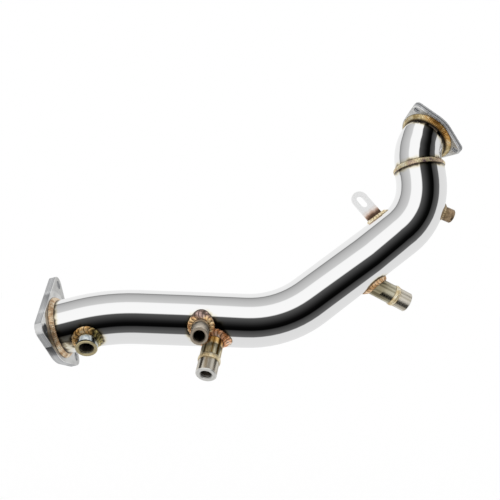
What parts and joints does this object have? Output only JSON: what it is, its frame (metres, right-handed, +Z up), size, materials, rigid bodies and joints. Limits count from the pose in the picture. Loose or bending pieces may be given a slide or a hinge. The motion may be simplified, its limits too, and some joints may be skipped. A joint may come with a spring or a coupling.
{
  "type": "turbo downpipe",
  "caption": "Bent exhaust downpipe: polished tube with a flange at each end, threaded sensor bungs, a pressure stub and a slotted bracket, all welded on.",
  "frame": {"origin": "centre of the turbo flange's mating face", "axes": "+X along the main run toward the turbo end, +Z up as in the picture, +Y away from the viewer"},
  "size_m": [0.5135, 0.2154, 0.3478],
  "materials": {
    "polished_tube": "mirror polished",
    "flange_plate": "laser cut and brushed",
    "turned_fitting": "turned, heat tinted",
    "weld_metal": "TIG weld with straw and bronze heat tint",
    "bracket_sheet": "satin"
  },
  "bodies": {
    "root": {"exhaust_flange": "flange_plate", "turbo_flange": "flange_plate", "main_tube": "polished_tube", "upper_elbow": "polished_tube", "exhaust_flange_weld": "weld_metal", "turbo_flange_weld": "weld_metal", "elbow_joint_weld": "weld_metal", "lambda_bung": "turned_fitting", "lambda_bung_weld": "weld_metal", "temperature_boss": "turned_fitting", "temperature_boss_weld": "weld_metal", "lower_probe_extension": "turned_fitting", "lower_probe_bung": "turned_fitting", "lower_probe_joint_weld": "weld_metal", "lower_probe_base_weld": "weld_metal", "side_probe_extension": "turned_fitting", "side_probe_bung": "turned_fitting", "side_probe_joint_weld": "weld_metal", "side_probe_base_weld": "weld_metal", "pressure_stub": "turned_fitting", "pressure_stub_weld": "weld_metal", "mounting_bracket": "bracket_sheet", "bracket_weld": "weld_metal"}
  },
  "joints": []
}
